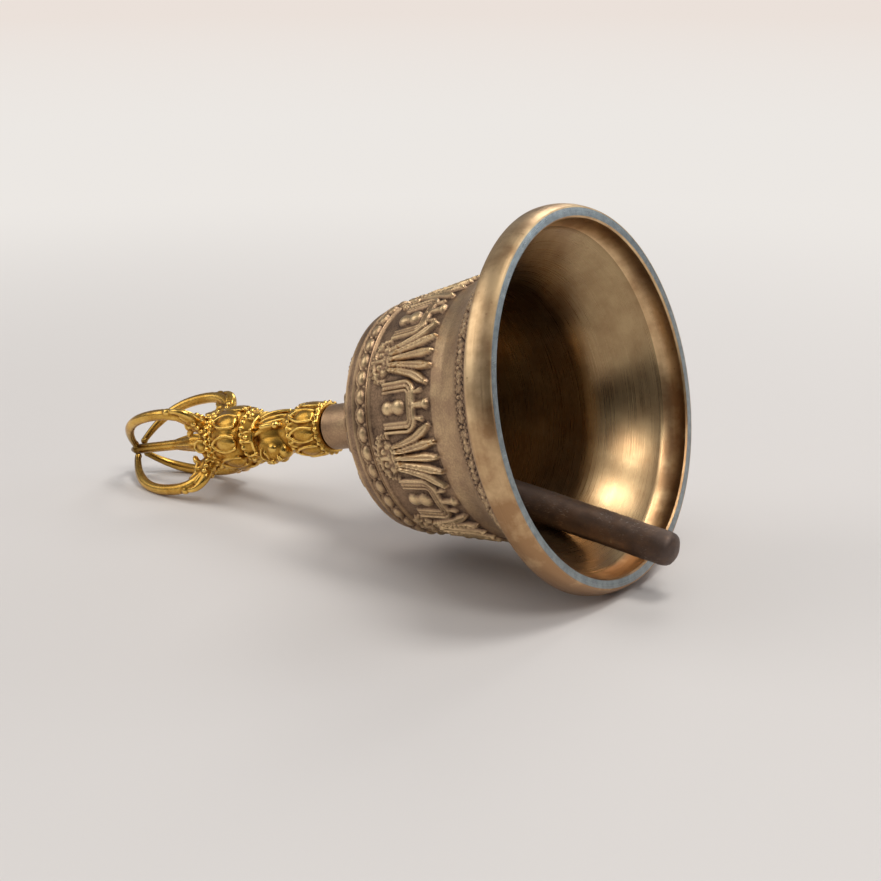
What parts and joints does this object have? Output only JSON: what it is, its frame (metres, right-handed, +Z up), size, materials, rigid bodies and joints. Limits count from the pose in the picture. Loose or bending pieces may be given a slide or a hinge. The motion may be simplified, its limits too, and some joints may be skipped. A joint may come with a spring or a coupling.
{
  "type": "tibetan hand bell",
  "caption": "Cast bronze ritual hand bell with a gilt half-vajra handle, lying on its side, with an iron clapper on a wire link that swings from wall to wall.",
  "frame": {"origin": "middle of the footprint's bounding box, on the table that the bell lies on", "axes": "+X level, along the bell from handle to mouth; +Z up from the table; the bell's own axis is tilted by 14.5 degrees, mouth end higher"},
  "size_m": [0.1832, 0.0974, 0.0949],
  "materials": {
    "bell_bronze": "cast bell metal, brown patina outside, turned and polished lip and inside",
    "gilt_brass": "gilded casting, bright on the highs",
    "forged_iron": "dark brown forged iron, scuffed",
    "wire_steel": "dull steel wire"
  },
  "bodies": {
    "bell": {"bell_shell": "bell_bronze", "handle_stem": "gilt_brass", "vajra_cage": "gilt_brass", "centre_prong": "gilt_brass", "eye_bolt": "forged_iron", "crown_washer": "wire_steel"},
    "link": {"hanger_link": "wire_steel"},
    "clapper": {"clapper": "forged_iron"}
  },
  "joints": [
    {"name": "link_swing", "type": "hinge", "parent": "bell", "child": "link", "pos_m": [0.02002, 0, 0.03601], "axis": [0, 1, 0], "range_deg": [-180, 0]},
    {"name": "clapper_swing", "type": "hinge", "parent": "link", "child": "clapper", "pos_m": [0.02402, 0, 0.02052], "axis": [0, 1, 0], "range_deg": [0, 137.9]}
  ],
  "couplings": [
    {"joint": "clapper_swing", "follows": "link_swing", "ratio": -0.76562}
  ]
}
